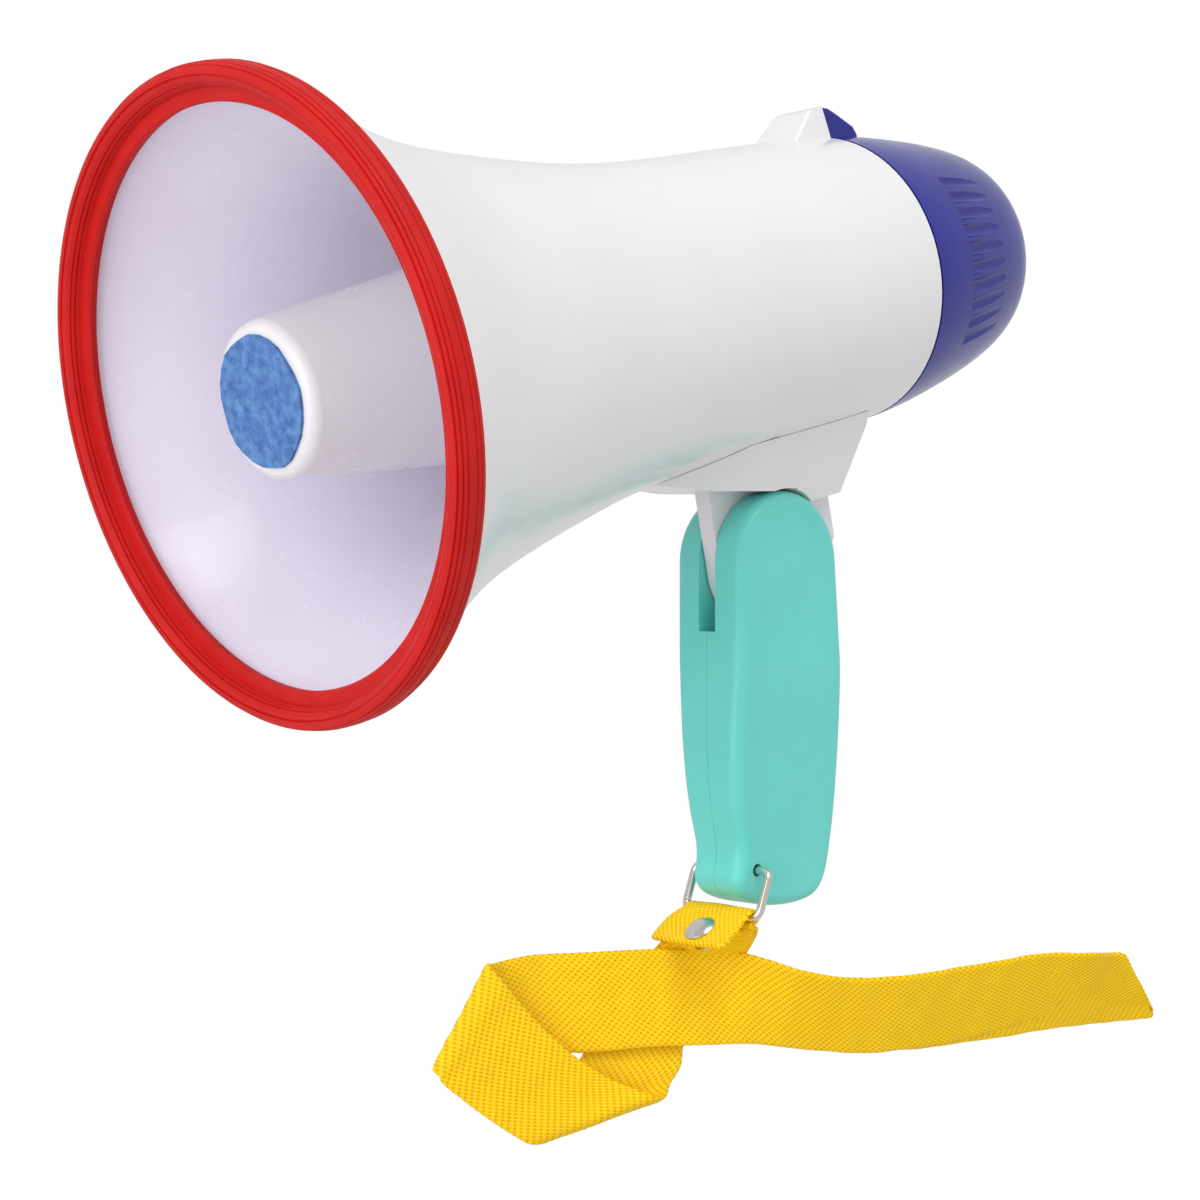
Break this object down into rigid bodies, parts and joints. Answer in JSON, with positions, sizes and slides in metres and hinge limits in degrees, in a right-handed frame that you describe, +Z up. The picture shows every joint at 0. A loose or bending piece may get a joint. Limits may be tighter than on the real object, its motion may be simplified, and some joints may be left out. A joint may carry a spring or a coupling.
{
  "type": "handheld megaphone",
  "caption": "Handheld megaphone with flared horn, soft rim, reflex nose, twist-off rear cap, folding grip, wire bail and webbing wrist strap.",
  "frame": {"origin": "on the ground, in the middle of the footprint of the megaphone lying on its side with its strap laid out", "axes": "+Z up from the ground; -Y is the side the horn's mouth faces, so +Y points to the rear cap along the ground; +X is the side the grip and the strap lie on"},
  "size_m": [0.3143, 0.2808, 0.1518],
  "materials": {
    "white_shell": "glossy injection moulded ABS",
    "rim_rubber": "soft matt PVC with fine concentric grooves",
    "blue_cap": "glossy royal blue ABS",
    "disc_card": "fibrous cut disc, mottled blue",
    "grip_teal": "semi-gloss moulded plastic",
    "webbing": "woven polypropylene webbing",
    "nickel": "bright nickel plate",
    "zinc_steel": "zinc plated screws and pin",
    "driver_steel": "pressed steel plates",
    "ferrite": "sintered ferrite",
    "black_plastic": "fine texture black moulding",
    "board_green": "solder masked board",
    "component_dark": "component bodies",
    "cell_jacket": "plain battery jacket",
    "contact_metal": "spring contacts",
    "diaphragm_film": "phenolic dome",
    "foam_gasket": "soft sealing ring",
    "button_red": "moulded button"
  },
  "bodies": {
    "housing": {"body_shell": "white_shell", "bell_rim_ring": "rim_rubber", "nose_reflector": "white_shell", "nose_disc": "disc_card", "tone_tube": "white_shell", "grip_saddle": "white_shell", "saddle_screws": "zinc_steel", "throat_screws": "zinc_steel", "driver_frame": "black_plastic", "driver_gasket": "foam_gasket", "driver_screws": "zinc_steel", "driver_plates": "driver_steel", "driver_magnet": "ferrite", "driver_diaphragm": "diaphragm_film", "battery_tray": "black_plastic", "battery_cells": "cell_jacket", "battery_contacts": "contact_metal", "amplifier_board": "board_green", "amplifier_parts": "component_dark"},
    "cap": {"rear_cap": "blue_cap", "mic_grille": "black_plastic", "mic_capsule": "component_dark", "control_board": "board_green", "control_parts": "component_dark", "board_screws": "zinc_steel"},
    "talk_key": {"talk_button": "button_red"},
    "siren_key": {"siren_switch": "black_plastic"},
    "volume_knob": {"volume_dial": "black_plastic"},
    "grip": {"grip_near_half": "grip_teal", "grip_far_half": "grip_teal", "pivot_pin": "zinc_steel", "grip_screws": "zinc_steel"},
    "bail": {"wire_bail": "nickel"},
    "strap": {"strap_webbing": "webbing", "strap_rivet": "nickel"}
  },
  "joints": [
    {"name": "grip_fold", "type": "hinge", "parent": "housing", "child": "grip", "pos_m": [-0.01098, 0.02488, 0.03099], "axis": [-0.258, -0.1682, -0.9514], "range_deg": [-13, 70], "deforming": ["strap_webbing"]},
    {"name": "bail_swing", "type": "hinge", "parent": "grip", "child": "bail", "pos_m": [0.06488, -0.0069, 0.01603], "axis": [-0.258, -0.1682, -0.9514], "range_deg": [-15, 70], "deforming": ["strap_webbing"]},
    {"name": "strap_swing", "type": "hinge", "parent": "bail", "child": "strap", "pos_m": [0.07537, -0.01443, 0.01452], "axis": [-0.258, -0.1682, -0.9514], "range_deg": [-25, 25], "deforming": ["strap_webbing"]},
    {"name": "cap_twist", "type": "hinge", "parent": "housing", "child": "cap", "pos_m": [-0.08035, 0.07468, 0.041], "axis": [0, 0.9847, -0.1741], "range_deg": [0, 30]},
    {"name": "talk_press", "type": "slide", "parent": "cap", "child": "talk_key", "axis": [0, -0.9847, 0.1741], "range_m": [0, 0.0014], "stiffness_N_per_m": 600, "springref_m": -0.0008},
    {"name": "siren_slide", "type": "slide", "parent": "cap", "child": "siren_key", "axis": [-0.9661, 0.0449, 0.2541], "range_m": [0, 0.005]},
    {"name": "volume_turn", "type": "hinge", "parent": "cap", "child": "volume_knob", "pos_m": [-0.07655, 0.13557, 0.04077], "axis": [0, 0.9847, -0.1741], "range_deg": [0, 270]}
  ]
}
